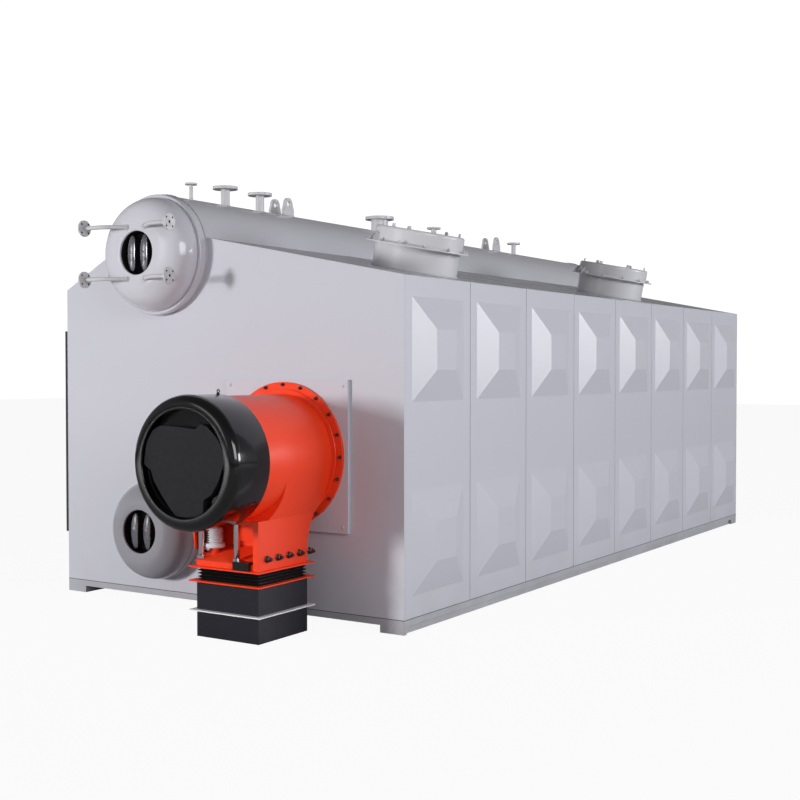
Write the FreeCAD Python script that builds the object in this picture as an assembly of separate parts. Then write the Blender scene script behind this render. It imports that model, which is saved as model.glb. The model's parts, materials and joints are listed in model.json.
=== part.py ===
"""Packaged two-drum water-tube boiler with a front-mounted forced-draught burner.

Works frame used while building: X = 0 on the left wall face (seen from the burner end) and grows
to the right, Y = 0 on the front wall face and grows towards the rear, Z = 0 on the ground.
Every node is moved to the part's own frame on export: origin at the middle of the footprint.
Lengths are millimetres.
"""
import FreeCAD
import Part
import math
import os

V = FreeCAD.Vector

# ---------------------------------------------------------------- casing
body_width = 3750.0
body_length = 8450.0
eaves_height = 2830.0
bay_count = 8
wall = 100.0                  # insulated side wall
end_plate = 40.0              # front and back wall
roof_thickness = 80.0
right_slope = 0.197           # rise per run of the right roof
left_slope = 0.53
panel_seam = 8.0              # open joint between two side panels
bays_per_node = 2

# stiffening pyramids pressed out of every side panel
pyramid_rise = 80.0
pyramid_base = (821.0, 834.0)
pyramid_top = (315.0, 326.0)
pyramid_low_level = 710.0
pyramid_top_drop = 581.0      # upper pyramid centre below the eaves

# ---------------------------------------------------------------- base
skid_height = 60.0
base_plate_thickness = 55.0
skid_width = 226.0
skid_recess = 30.0
front_foot = 40.0
rear_foot = 200.0
foot_gap = 25.0               # notch between the skid rail and the rear foot

# ---------------------------------------------------------------- drums
drum_x = 1200.0
upper_drum_rise = 270.0       # upper drum axis above the eaves
upper_drum_radius = 530.0
upper_drum_wall = 36.0
upper_drum_reach = 75.0       # straight shell beyond each end wall
upper_knuckle = 147.0          # width of the rounded edge of the head
upper_knuckle_depth = 216.0
upper_crown = 28.0             # how far the head bulges past its knuckle
lower_drum_z = 670.0
lower_drum_radius = 445.0
lower_drum_wall = 32.0
lower_drum_reach = 75.0
lower_knuckle = 75.0
lower_knuckle_depth = 175.0
lower_crown = 49.0
shell_fit = 0.3               # clearance of the drums in the casing cut-outs

# manholes in all four heads
manhole_radius = 190.0
manhole_ring = 34.0           # width of the ring around the hole, inside the head
manhole_depth = 100.0
crown_clearance = 44.0         # flat face left around the ring, for the gauge pipes
crown_bulge = 0.35             # share of the crown lost half way out
cover_thickness = 40.0
cover_lap = 24.0              # the cover is this much larger than the hole
yoke_spread = 82.0            # sideways distance of each yoke from the middle
yoke_width = 62.0
yoke_clearance = 2.2          # between the yoke corners and the manhole edge
yoke_rise = 74.0
yoke_bolt_radius = 17.0
yoke_bolt_reach = 5.0         # how far the stud stands out of the yoke
boss_gap = 2.0                # between the cover's raised face and the manhole edge
boss_height = 20.0

# ---------------------------------------------------------------- nozzles on the upper drum
# name: (distance from the front wall, flange diameter, pipe diameter, bore,
#        flange top above the drum's crown, flange thickness)
nozzles = {
    "vent": (392.0, 112.0, 36.0, 27.0, 158.0, 16.0),
    "safety_front": (869.0, 236.0, 84.0, 70.0, 183.0, 26.0),
    "safety_rear": (1387.0, 236.0, 84.0, 70.0, 183.0, 26.0),
    "steam": (3521.0, 322.0, 190.0, 166.0, 170.0, 32.0),
    "feed": (4709.0, 166.0, 62.0, 50.0, 166.0, 20.0),
    "sampling": (6808.0, 176.0, 60.0, 48.0, 158.0, 20.0),
}
steam_bolts = (8, 270.0, 11.0)      # count, pitch circle, hole radius
safety_bolts = (8, 190.0, 9.0)

# lifting lugs: pairs of plates standing on the upper drum
lug_positions = (1728.0, 6160.0)
lug_half_spacing = 82.0
lug_thickness = 26.0
lug_width = 170.0
lug_rise = 172.0              # lug top above the drum's crown
lug_eye_radius = 27.0
lug_eye_below_top = 62.0

# water gauge connections on the upper front head
gauge_start = 105.0           # sideways distance where the pipe leaves the head
gauge_elbow = 280.0
gauge_end = 490.0
gauge_forward = 121.0
gauge_level_gap = 1.0         # between the manhole ring and the level of the gauge pipes
gauge_buried = 60.0           # run of pipe inside the head before trimming
gauge_pipe_radius = 18.0
gauge_bore = 12.0
gauge_flange_radius = 72.0
gauge_flange_thickness = 18.0
gauge_bend = 90.0
gauge_bore_depth = 40.0       # bore beyond the flange's back

# ---------------------------------------------------------------- explosion doors on the right roof
door_inset = 640.0            # foot of the door's axis from the right wall face
door_positions = (1180.0, 5545.0)
door_curb_radius = 381.0
door_flange_lap = 86.0        # flange and cover are this much larger than the curb
door_flange_thickness = 12.0
door_flange_rise = 209.8      # flange underside above the roof, on the door's axis
door_cover_lap = 15.0
door_cover_height = 136.0
door_cover_edge = 18.0

# ---------------------------------------------------------------- burner
burner_inset = 1150.0         # burner axis from the right wall face
burner_z = 1385.0
burner_plate = (1272.0, 1242.0, 30.0)
burner_flange_radius = 600.0
burner_flange_thickness = 25.0
housing_radius = 500.0
housing_front = 870.0         # distance of the housing's front rim from the wall
cap_radius = 515.0
cap_length = 410.0
cap_edge = 65.0
cap_recess = 70.0
cap_rim = 106.0
cap_disc_gap = 8.0
cap_disc_depth = 20.0

# square duct below the burner; its sides stand in from the round housing's sides
duct_left_inset = 280.0
duct_right_inset = 105.0
duct_rear = 255.0             # distance of the duct's rear face from the wall
shoulder_rise = 50.0          # duct shoulder above the housing's underside
flare_inset = 233.0           # where the left side leaves its straight run
flare_drop = 25.0
front_curve_top = (251.0, 228.0)     # behind the housing's rim, below its axis
front_curve_low_back = 118.0
front_curve_sag = (28.0, 18.0)
rear_curve_top_drop = 345.0   # below the housing's axis
rear_curve_lip = 7.0          # straight run between the burner flange and the curve
rear_curve_rise = 95.0        # curve's lower end above the duct flange
rear_curve_sag = (38.0, 36.0)
niche_left_overrun = 18.0
niche_right_inset = 52.0
niche_depth = 265.0
niche_drop = 35.0             # niche roof below the duct's shoulder
niche_floor = (55.0, 155.0)   # front and back of the sloping floor above the duct flange
niche_lip = 20.0

collar = 45.0                 # overhang of the duct flanges
red_flange_z = (545.0, 434.0)
red_flange_thickness = 11.0
pale_flange_z = 205.0
pale_flange_thickness = 9.0
bellows_folds = 4
bellows_fold_depth = 14.0

# parts in the niche, from the duct's left, right and front faces
rod_left_inset = 16.0
rod_right_inset = 238.0
rod_setback = 35.0
rod_radius = 25.0
block_inset = (75.0, 229.0)
block_overhang = 30.0
block_depth = 250.0
block_height = 64.0
hose_inset = 78.0
hose_setback = 125.0
hose_end_radius = 82.0
hose_end_height = 34.0
hose_radius = 62.0
hose_rib = 7.0
hose_ribs = 5
hose_floor_gap = 145.0        # hose end above the duct flange's underside

# ---------------------------------------------------------------- flue outlet on the left wall
flue_front = 100.0
flue_bay_gap = 46.25          # from the end of the first bay
flue_low = 540.0
flue_top_drop = 380.0         # below the eaves
flue_reach = 120.0
flue_frame = 60.0
flue_cover_thickness = 20.0

# ---------------------------------------------------------------- derived places
def right_roof_z(x):
    return eaves_height + right_slope * (body_width - x)


def left_roof_z(x):
    return eaves_height + left_slope * x


base_height = skid_height + base_plate_thickness
bay = body_length / bay_count
pyramid_centre_in_bay = bay / 2
pyramid_levels = (pyramid_low_level, eaves_height - pyramid_top_drop)
upper_drum_z = eaves_height + upper_drum_rise
drum_crown_z = upper_drum_z + upper_drum_radius
lug_top = drum_crown_z + lug_rise
yoke_length = 2 * math.sqrt((manhole_radius - yoke_clearance) ** 2 - (yoke_spread + yoke_width / 2) ** 2)
gauge_level = manhole_radius + manhole_ring + gauge_level_gap
gauge_levels = (gauge_level, -gauge_level)
door_x = body_width - door_inset
door_flange_z = right_roof_z(door_x) + door_flange_rise
door_flange_radius = door_curb_radius + door_flange_lap
door_cover_radius = door_curb_radius + door_cover_lap
burner_x = body_width - burner_inset
housing_low_z = burner_z - housing_radius
duct_x = (burner_x - housing_radius + duct_left_inset, burner_x + housing_radius - duct_right_inset)
duct_y = (duct_rear, housing_front)
duct_shoulder_z = housing_low_z + shoulder_rise
duct_flare = (burner_x - housing_radius + flare_inset, housing_low_z - flare_drop)
duct_low_z = red_flange_z[0] + red_flange_thickness
side_front_top = (housing_front - front_curve_top[0], burner_z - front_curve_top[1])
side_front_low = (housing_front - front_curve_low_back, duct_shoulder_z)
rear_curve_top = (burner_plate[2] + burner_flange_thickness + rear_curve_lip, burner_z - rear_curve_top_drop)
rear_curve_low_z = red_flange_z[0] + rear_curve_rise
niche_x = (duct_x[0] - niche_left_overrun, duct_x[1] - niche_right_inset)
niche_top = duct_shoulder_z - niche_drop
niche_floor_z = (red_flange_z[0] + niche_floor[0], red_flange_z[0] + niche_floor[1])
rod_x = (duct_x[0] + rod_left_inset, duct_x[1] - rod_right_inset)
rod_y = duct_y[1] - rod_setback
block_x = (duct_x[1] - block_inset[1], duct_x[1] - block_inset[0])
block_y = (duct_y[1] + block_overhang - block_depth, duct_y[1] + block_overhang)
hose_x = duct_x[0] + hose_inset
hose_y = duct_y[1] - hose_setback
hose_low = red_flange_z[0] + hose_floor_gap
flue_y = (flue_front, bay - flue_bay_gap)
flue_z = (flue_low, eaves_height - flue_top_drop)
upper_head_y = upper_drum_reach + upper_knuckle_depth + upper_crown
lower_head_y = lower_drum_reach + lower_knuckle_depth + lower_crown
left_extent = -(flue_reach + flue_cover_thickness)
right_extent = body_width + pyramid_rise
front_extent = -(housing_front + cap_length)
rear_extent = body_length + upper_head_y
origin = V((left_extent + right_extent) / 2, (front_extent + rear_extent) / 2, 0)


# ---------------------------------------------------------------- helpers
def save(name, shape):
    """Write one node, moved from the works frame to the part's own frame."""
    moved = shape.copy()
    moved.translate(origin * -1)
    moved.exportStep("parts/" + name + ".step")


def block(x, y, z):
    """Box from three (low, high) pairs."""
    return Part.makeBox(x[1] - x[0], y[1] - y[0], z[1] - z[0], V(x[0], y[0], z[0]))


def post(x, y, z, radius):
    """Upright cylinder between two levels."""
    return Part.makeCylinder(radius, z[1] - z[0], V(x, y, z[0]))


def barrel(x, z, radius, y):
    """Cylinder along Y between two distances from the front wall."""
    return Part.makeCylinder(radius, y[1] - y[0], V(x, y[0], z), V(0, 1, 0))


def section(points, y):
    """Closed XZ outline extruded along Y."""
    corners = [V(px, y[0], pz) for px, pz in points]
    face = Part.Face(Part.makePolygon(corners + corners[:1]))
    return face.extrude(V(0, y[1] - y[0], 0))


def mirrored(shape):
    """The same piece at the other end of the boiler."""
    return shape.mirror(V(0, body_length / 2, 0), V(0, 1, 0))


def compound(shapes):
    return Part.makeCompound(shapes)


def upper_drum_body(clearance):
    """The upper drum's outside, running past both heads, for cutting other pieces to it."""
    return barrel(drum_x, upper_drum_z, upper_drum_radius + clearance,
                  (-2 * upper_head_y, body_length + 2 * upper_head_y))


# ---------------------------------------------------------------- casing
def end_wall():
    """Front wall plate with its gable and the cut-outs for the two drums."""
    ridge_x = right_slope * body_width / (left_slope + right_slope)
    outline = [
        (0.0, base_height),
        (body_width, base_height),
        (body_width, eaves_height),
        (ridge_x, right_roof_z(ridge_x)),
        (0.0, eaves_height),
    ]
    plate = section(outline, (0.0, end_plate))
    lower = barrel(drum_x, lower_drum_z, lower_drum_radius + shell_fit, (-10.0, end_plate + 10.0))
    return plate.cut(upper_drum_body(shell_fit)).cut(lower)


def pyramid(centre_y, centre_z, face_x, outward):
    """Low truncated pyramid standing on a side wall face."""
    def ring(size, x):
        hy, hz = size[0] / 2, size[1] / 2
        corners = [V(x, centre_y + a * hy, centre_z + b * hz) for a, b in ((-1, -1), (1, -1), (1, 1), (-1, 1))]
        return Part.makePolygon(corners + corners[:1])
    root = ring(pyramid_base, face_x)
    tip = ring(pyramid_top, face_x + outward * pyramid_rise)
    return Part.makeLoft([root, tip], True, True)


def bay_span(index):
    """Y range of a side panel, shortened by the end walls and the open seams."""
    low = index * bay + panel_seam / 2
    high = (index + 1) * bay - panel_seam / 2
    if index == 0:
        low = end_plate
    if index == bay_count - 1:
        high = body_length - end_plate
    return low, high


def right_panel(index):
    outline = [
        (body_width - wall, base_height),
        (body_width, base_height),
        (body_width, eaves_height),
        (body_width - wall, right_roof_z(body_width - wall)),
    ]
    panel = section(outline, bay_span(index))
    middle = index * bay + pyramid_centre_in_bay
    for level in pyramid_levels:
        panel = panel.fuse(pyramid(middle, level, body_width, 1))
    return panel.removeSplitter()


def left_slab(index):
    outline = [
        (0.0, base_height),
        (wall, base_height),
        (wall, left_roof_z(wall)),
        (0.0, eaves_height),
    ]
    return section(outline, bay_span(index))


def left_panel(index):
    """Left side panel; the first bay is plain behind the flue outlet."""
    panel = left_slab(index)
    if index == 0:
        return panel
    middle = index * bay + pyramid_centre_in_bay
    for level in pyramid_levels:
        panel = panel.fuse(pyramid(middle, level, 0.0, -1))
    return panel.removeSplitter()


def roof(side):
    """Sloping roof slab between the side panels and the upper drum."""
    inner_x = right_slope * body_width / (left_slope + right_slope)
    ridge_z = right_roof_z(inner_x)
    outer_x = body_width - wall if side == "right" else wall
    outer_z = right_roof_z(outer_x) if side == "right" else left_roof_z(outer_x)
    outline = [
        (outer_x, outer_z),
        (inner_x, ridge_z),
        (inner_x, ridge_z - roof_thickness),
        (outer_x, outer_z - roof_thickness),
    ]
    slab = section(outline, (end_plate, body_length - end_plate))
    return slab.cut(upper_drum_body(shell_fit))


def base_plate():
    return block((0.0, body_width), (0.0, body_length), (skid_height, base_height))


def skid(side):
    """Rail under one long edge, flush with the wall only at its two feet."""
    outer = body_width if side == "right" else 0.0
    inward = -1 if side == "right" else 1

    def span(near, far):
        return tuple(sorted((outer + inward * near, outer + inward * far)))
    rail_end = body_length - rear_foot - foot_gap
    rail = block(span(skid_recess, skid_width), (0.0, rail_end), (0.0, skid_height))
    nose = block(span(0.0, skid_width), (0.0, front_foot), (0.0, skid_height))
    tail = block(span(0.0, skid_width), (rail_end + foot_gap, body_length), (0.0, skid_height))
    return compound([rail.fuse(nose).removeSplitter(), tail])


# ---------------------------------------------------------------- drums
def drum_shell(z, radius, thickness, reach):
    outer = barrel(drum_x, z, radius, (-reach, body_length + reach))
    return outer.cut(barrel(drum_x, z, radius - thickness, (-reach - 1.0, body_length + reach + 1.0)))


def knuckle_arc(at, radius, reach, width, depth):
    """Arc that leaves the shell straight ahead and ends on the head's shoulder."""
    curve = (width ** 2 + depth ** 2) / (2 * width)
    half = math.atan2(depth, curve - width) / 2
    return Part.Arc(at(radius - width, reach + depth),
                    at(radius - curve + curve * math.cos(half), reach + curve * math.sin(half)), at(radius, reach))


def drum_head(z, radius, thickness, reach, knuckle, depth, crown):
    """Front head: a flat middle, a slightly bulging zone, a rounded knuckle and a ringed manhole."""
    face = reach + depth + crown
    flat = manhole_radius + manhole_ring + crown_clearance
    shoulder = radius - knuckle
    middle = (flat + shoulder) / 2

    def at(r, y):
        return V(drum_x + r, -y, z)
    edges = [
        Part.LineSegment(at(0, face), at(flat, face)),
        Part.Arc(at(flat, face), at(middle, face - crown * crown_bulge), at(shoulder, face - crown)),
        knuckle_arc(at, radius, reach, knuckle, depth),
        Part.LineSegment(at(radius, reach), at(radius - thickness, reach)),
        knuckle_arc(at, radius - thickness, reach, knuckle - thickness, depth - thickness),
        Part.Arc(at(shoulder, face - crown - thickness),
                 at(middle, face - crown * crown_bulge - thickness), at(flat, face - thickness)),
        Part.LineSegment(at(flat, face - thickness), at(0, face - thickness)),
        Part.LineSegment(at(0, face - thickness), at(0, face)),
    ]
    profile = Part.Wire([edge.toShape() for edge in edges])
    head = Part.Face(profile).revolve(V(drum_x, 0, z), V(0, 1, 0), 360)
    ring = barrel(drum_x, z, manhole_radius + manhole_ring, (-face + thickness / 2, -face + manhole_depth))
    hole = barrel(drum_x, z, manhole_radius, (-face - 10.0, -face + manhole_depth + 10.0))
    return head.fuse(ring).cut(hole).removeSplitter()


def yoke(x, z, seat_y):
    """Arched bar across the manhole with its stud and nut."""
    half = yoke_length / 2
    low, top, high = V(x, seat_y, z - half), V(x, seat_y - yoke_rise, z), V(x, seat_y, z + half)
    outline = Part.Wire([Part.Arc(low, top, high).toShape(), Part.LineSegment(high, low).toShape()])
    bar = Part.Face(outline).extrude(V(yoke_width, 0, 0))
    bar.translate(V(-yoke_width / 2, 0, 0))
    bar = bar.common(block((x - yoke_width, x + yoke_width), (seat_y - yoke_rise, seat_y), (z - half, z + half)))
    stud = barrel(x, z, yoke_bolt_radius, (seat_y - yoke_rise - yoke_bolt_reach, seat_y - yoke_rise / 2))
    return bar.fuse(stud)


def manhole_cover(z, head_y):
    """Inner cover plate seated on the ring, with two yokes in front of it."""
    seat = -head_y + manhole_depth
    cover = barrel(drum_x, z, manhole_radius + cover_lap, (seat, seat + cover_thickness))
    boss = barrel(drum_x, z, manhole_radius - boss_gap, (seat - boss_height, seat))
    cover = cover.fuse(boss)
    for side in (-1, 1):
        cover = cover.fuse(yoke(drum_x + side * yoke_spread, z, seat - boss_height))
    return cover.removeSplitter()


# ---------------------------------------------------------------- drum fittings
def bolt_circle(x, y, z, count, pitch, hole_radius, thickness):
    holes = []
    for i in range(count):
        angle = 2 * math.pi * (i + 0.5) / count
        holes.append(post(x + pitch / 2 * math.cos(angle), y + pitch / 2 * math.sin(angle),
                          (z - thickness - 1.0, z + 1.0), hole_radius))
    return compound(holes)


def nozzle(name):
    """Flanged pipe stub standing on top of the upper drum."""
    y, flange, pipe, bore, rise, thickness = nozzles[name]
    top = drum_crown_z + rise
    stub = post(drum_x, y, (upper_drum_z, top - thickness), pipe / 2)
    disc = post(drum_x, y, (top - thickness, top), flange / 2)
    body = stub.fuse(disc).cut(upper_drum_body(0.0))
    body = body.cut(post(drum_x, y, (upper_drum_z, top + 1.0), bore / 2))
    if name == "steam":
        body = body.cut(bolt_circle(drum_x, y, top, *steam_bolts, thickness))
    if name.startswith("safety"):
        body = body.cut(bolt_circle(drum_x, y, top, *safety_bolts, thickness))
    return body


def nozzle_openings():
    """Holes in the drum shell under the nozzles."""
    return compound([post(drum_x, y, (upper_drum_z, drum_crown_z + rise), bore / 2)
                     for y, flange, pipe, bore, rise, thickness in nozzles.values()])


def lug(x, y):
    """Lifting plate with a rounded top and an eye."""
    nose = lug_eye_below_top
    eye_z = lug_top - nose
    plate = Part.makePolygon([
        V(x, y - lug_width / 2, upper_drum_z),
        V(x, y + lug_width / 2, upper_drum_z),
        V(x, y + lug_width / 2, eye_z - nose),
        V(x, y + nose, eye_z),
        V(x, y - nose, eye_z),
        V(x, y - lug_width / 2, eye_z - nose),
        V(x, y - lug_width / 2, upper_drum_z),
    ])
    body = Part.Face(plate).extrude(V(lug_thickness, 0, 0))
    crown = Part.makeCylinder(nose, lug_thickness, V(x, y, eye_z), V(1, 0, 0))
    eye = Part.makeCylinder(lug_eye_radius, lug_thickness + 2.0, V(x - 1.0, y, eye_z), V(1, 0, 0))
    return body.fuse(crown).removeSplitter().cut(eye).cut(upper_drum_body(0.0))


def lug_pair(y):
    return [lug(drum_x - lug_half_spacing - lug_thickness / 2, y),
            lug(drum_x + lug_half_spacing - lug_thickness / 2, y)]


def gauge_pipe(side, level):
    """Bent pipe from the front head to a sideways flange."""
    z = upper_drum_z + level
    root = V(drum_x + side * gauge_start, -upper_head_y, z)
    elbow = V(drum_x + side * gauge_elbow, -upper_head_y - gauge_forward, z)
    end = V(drum_x + side * gauge_end, -upper_head_y - gauge_forward, z)
    into = (elbow - root).normalize()
    out = (end - elbow).normalize()
    turn = math.acos(into.dot(out))
    setback = gauge_bend * math.tan(turn / 2)
    first = elbow - into * setback
    last = elbow + out * setback
    middle_dir = (out - into).normalize()
    centre = elbow + middle_dir * (gauge_bend / math.cos(turn / 2))
    middle = centre - middle_dir * gauge_bend
    buried = root - into * gauge_buried
    path = Part.Wire([
        Part.LineSegment(buried, first).toShape(),
        Part.Arc(first, middle, last).toShape(),
        Part.LineSegment(last, end).toShape(),
    ])

    def tube(radius):
        rim = Part.Wire(Part.makeCircle(radius, buried, into))
        return path.makePipeShell([rim], True, True)
    disc = Part.makeCylinder(gauge_flange_radius, gauge_flange_thickness, end, out)
    bore = Part.makeCylinder(gauge_bore, gauge_flange_thickness + gauge_bore_depth + 1.0,
                             end - out * gauge_bore_depth, out)
    head_space = block((drum_x - upper_drum_radius, drum_x + upper_drum_radius), (-upper_head_y, 0),
                       (z - gauge_elbow, z + gauge_elbow))
    return tube(gauge_pipe_radius).fuse(disc).cut(bore).cut(head_space)


# ---------------------------------------------------------------- explosion doors
def leaning(shape, y):
    """Tip an upright door about the foot of its axis, so that it stands square on the sloping roof."""
    foot = right_roof_z(door_x)
    fall = right_roof_z(door_x - 1.0) - foot
    shape.rotate(V(door_x, y, foot), V(0, 1, 0), math.degrees(math.atan(fall)))
    return shape


def door_curb(y):
    """Round curb square on the sloping roof, with a wide thin flange."""
    curb = post(door_x, y, (right_roof_z(door_x), door_flange_z), door_curb_radius)
    flange = post(door_x, y, (door_flange_z, door_flange_z + door_flange_thickness), door_flange_radius)
    return leaning(curb.fuse(flange).removeSplitter(), y)


def door_cover(y):
    """Shallow round cover with a rounded top edge."""
    low = door_flange_z + door_flange_thickness
    cover = post(door_x, y, (low, low + door_cover_height), door_cover_radius)
    rim = [edge for edge in cover.Edges
           if isinstance(edge.Curve, Part.Circle) and edge.CenterOfMass.z > low + door_cover_height / 2]
    return leaning(cover.makeFillet(door_cover_edge, rim), y)


# ---------------------------------------------------------------- burner
def burner_wall_plate():
    width, height, thickness = burner_plate
    return block((burner_x - width / 2, burner_x + width / 2), (-thickness, 0.0),
                 (burner_z - height / 2, burner_z + height / 2))


def burner_flange():
    near = -burner_plate[2]
    return barrel(burner_x, burner_z, burner_flange_radius, (near - burner_flange_thickness, near))


def tangent_point(corner, side):
    """Where a line from a low corner touches the round housing on the given side."""
    dx, dz = burner_x - corner[0], burner_z - corner[1]
    distance = math.hypot(dx, dz)
    toward = math.atan2(dz, dx)
    offset = math.asin(housing_radius / distance)
    length = math.sqrt(distance ** 2 - housing_radius ** 2)
    angle = toward - side * offset
    return corner[0] + length * math.cos(angle), corner[1] + length * math.sin(angle)


def duct_front_view(y):
    """Throat seen from the front: tangents from the round housing down to the square duct."""
    left, right = duct_flare, (duct_x[1], duct_shoulder_z)
    return section([(duct_x[0], duct_low_z), left, tangent_point(left, -1), (burner_x, burner_z),
                    tangent_point(right, 1), right, (duct_x[1], duct_low_z)], y)


def duct_side_view(x):
    """Throat seen from the side, with its hollow curves at front and rear."""
    low = duct_low_z
    flange_y = burner_plate[2] + burner_flange_thickness
    rear_curve_low = (duct_y[0], rear_curve_low_z)

    def at(y, z):
        return V(x[0], -y, z)

    def hollow(start, end, sag):
        middle = ((start[0] + end[0]) / 2 + sag[0], (start[1] + end[1]) / 2 + sag[1])
        return Part.Arc(at(*start), at(*middle), at(*end))
    front = hollow(side_front_low, side_front_top, (-front_curve_sag[0], -front_curve_sag[1]))
    rear = hollow(rear_curve_top, rear_curve_low, rear_curve_sag)
    edges = [
        Part.LineSegment(at(duct_y[1], low), at(duct_y[1], duct_shoulder_z)),
        Part.LineSegment(at(duct_y[1], duct_shoulder_z), at(*side_front_low)),
        front,
        Part.LineSegment(at(*side_front_top), at(side_front_top[0], burner_z)),
        Part.LineSegment(at(side_front_top[0], burner_z), at(flange_y, burner_z)),
        Part.LineSegment(at(flange_y, burner_z), at(flange_y, rear_curve_top[1])),
        Part.LineSegment(at(flange_y, rear_curve_top[1]), at(*rear_curve_top)),
        rear,
        Part.LineSegment(at(*rear_curve_low), at(duct_y[0], low)),
        Part.LineSegment(at(duct_y[0], low), at(duct_y[1], low)),
    ]
    return Part.Face(Part.Wire([edge.toShape() for edge in edges])).extrude(V(x[1] - x[0], 0, 0))


def niche():
    """Recess in the front of the duct, open to the front, with a sloping floor."""
    front, back = -duct_y[1], -duct_y[1] + niche_depth
    rise = (niche_floor_z[1] - niche_floor_z[0]) / niche_depth
    outline = [
        V(niche_x[0], front - niche_lip, niche_floor_z[0] - niche_lip * rise),
        V(niche_x[0], back, niche_floor_z[1]),
        V(niche_x[0], back, niche_top),
        V(niche_x[0], front - niche_lip, niche_top),
    ]
    return Part.Face(Part.makePolygon(outline + outline[:1])).extrude(V(niche_x[1] - niche_x[0], 0, 0))


def burner_housing():
    """Round fan housing with the square duct running down from it."""
    back = -(burner_plate[2] + burner_flange_thickness)
    drum = barrel(burner_x, burner_z, housing_radius, (-housing_front, back))
    margin = 50.0
    sides = duct_side_view((burner_x - housing_radius - margin, burner_x + housing_radius + margin))
    throat = duct_front_view((-housing_front - margin, margin)).common(sides)
    return drum.fuse(throat).removeSplitter().cut(niche()).cut(block_body())


def burner_cap():
    """Black intake silencer: a drum with a rounded front edge and a recessed front."""
    front = -(housing_front + cap_length)
    body = barrel(burner_x, burner_z, cap_radius, (front, -housing_front))
    edge = [e for e in body.Edges if isinstance(e.Curve, Part.Circle) and e.CenterOfMass.y < front + 1.0]
    body = body.makeFillet(cap_edge, edge)
    recess = barrel(burner_x, burner_z, cap_radius - cap_rim, (front - 1.0, front + cap_recess))
    return body.cut(recess)


def cap_disc():
    """Round cover set into the silencer's front."""
    front = -(housing_front + cap_length)
    return barrel(burner_x, burner_z, cap_radius - cap_rim - cap_disc_gap,
                  (front + cap_disc_depth, front + cap_recess))


# ---------------------------------------------------------------- duct below the burner
def duct_box(z, overhang=0.0):
    return block((duct_x[0] - overhang, duct_x[1] + overhang),
                 (-duct_y[1] - overhang, -duct_y[0] + overhang), z)


def duct_flange(low, thickness):
    return duct_box((low, low + thickness), collar)


def bellows():
    """Square bellows: alternating wide and narrow folds."""
    low = red_flange_z[1] + red_flange_thickness
    high = red_flange_z[0]
    step = (high - low) / (2 * bellows_folds)
    folds = []
    for i in range(2 * bellows_folds):
        inset = -bellows_fold_depth if i % 2 else 0.0
        folds.append(duct_box((low + i * step, low + (i + 1) * step), inset))
    body = folds[0]
    for fold in folds[1:]:
        body = body.fuse(fold)
    return body.removeSplitter()


def rod(x):
    return post(x, -rod_y, (duct_low_z, niche_top), rod_radius)


def damper_rods():
    """Two rods between the sloping floor of the niche and its roof."""
    return [rod(x).common(niche()) for x in rod_x]


def block_body():
    return block(block_x, (-block_y[1], -block_y[0]), (duct_low_z, duct_low_z + block_height))


def terminal_block():
    return block_body().cut(rod(rod_x[1]))


def ribbed_hose():
    """Corrugated metal hose with collars at both ends, hanging from the roof of the niche."""
    body = post(hose_x, -hose_y, (hose_low, niche_top), hose_radius)
    for low in (hose_low, niche_top - hose_end_height):
        body = body.fuse(post(hose_x, -hose_y, (low, low + hose_end_height), hose_end_radius))
    start = hose_low + hose_end_height
    step = (niche_top - hose_end_height - start) / (2 * hose_ribs + 1)
    for i in range(hose_ribs):
        low = start + (2 * i + 1) * step
        body = body.fuse(post(hose_x, -hose_y, (low, low + step), hose_radius + hose_rib))
    return body.removeSplitter()


# ---------------------------------------------------------------- flue outlet
def flue_outlet():
    """Rectangular flanged stub on the left wall."""
    outer = block((-flue_reach, 0.0), flue_y, flue_z)
    inner = block((-flue_reach - 1.0, 1.0), (flue_y[0] + flue_frame, flue_y[1] - flue_frame),
                  (flue_z[0] + flue_frame, flue_z[1] - flue_frame))
    return outer.cut(inner)


def flue_cover():
    return block((-flue_reach - flue_cover_thickness, -flue_reach), flue_y, flue_z)


# ---------------------------------------------------------------- build
def build_casing():
    save("front_wall", end_wall())
    save("back_wall", mirrored(end_wall()))
    save("base_plate", base_plate())
    for side in ("left", "right"):
        save("skid_" + side, skid(side))
        save("roof_" + side, roof(side))
    for first in range(0, bay_count, bays_per_node):
        bays = range(first, min(first + bays_per_node, bay_count))
        number = first // bays_per_node + 1
        save("right_panels_%d" % number, compound([right_panel(index) for index in bays]))
        save("left_panels_%d" % number, compound([left_panel(index) for index in bays]))
    save("flue_outlet", flue_outlet())
    save("flue_cover", flue_cover())


def build_drums():
    upper = drum_shell(upper_drum_z, upper_drum_radius, upper_drum_wall, upper_drum_reach)
    save("upper_drum_shell", upper.cut(nozzle_openings()))
    save("lower_drum_shell", drum_shell(lower_drum_z, lower_drum_radius, lower_drum_wall, lower_drum_reach))
    head = drum_head(upper_drum_z, upper_drum_radius, upper_drum_wall, upper_drum_reach, upper_knuckle,
                     upper_knuckle_depth, upper_crown)
    save("upper_drum_front_head", head)
    save("upper_drum_rear_head", mirrored(head))
    head = drum_head(lower_drum_z, lower_drum_radius, lower_drum_wall, lower_drum_reach, lower_knuckle,
                     lower_knuckle_depth, lower_crown)
    save("lower_drum_front_head", head)
    save("lower_drum_rear_head", mirrored(head))
    covers = [manhole_cover(upper_drum_z, upper_head_y), manhole_cover(lower_drum_z, lower_head_y)]
    save("front_manhole_covers", compound(covers))
    save("rear_manhole_covers", compound([mirrored(cover) for cover in covers]))


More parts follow.
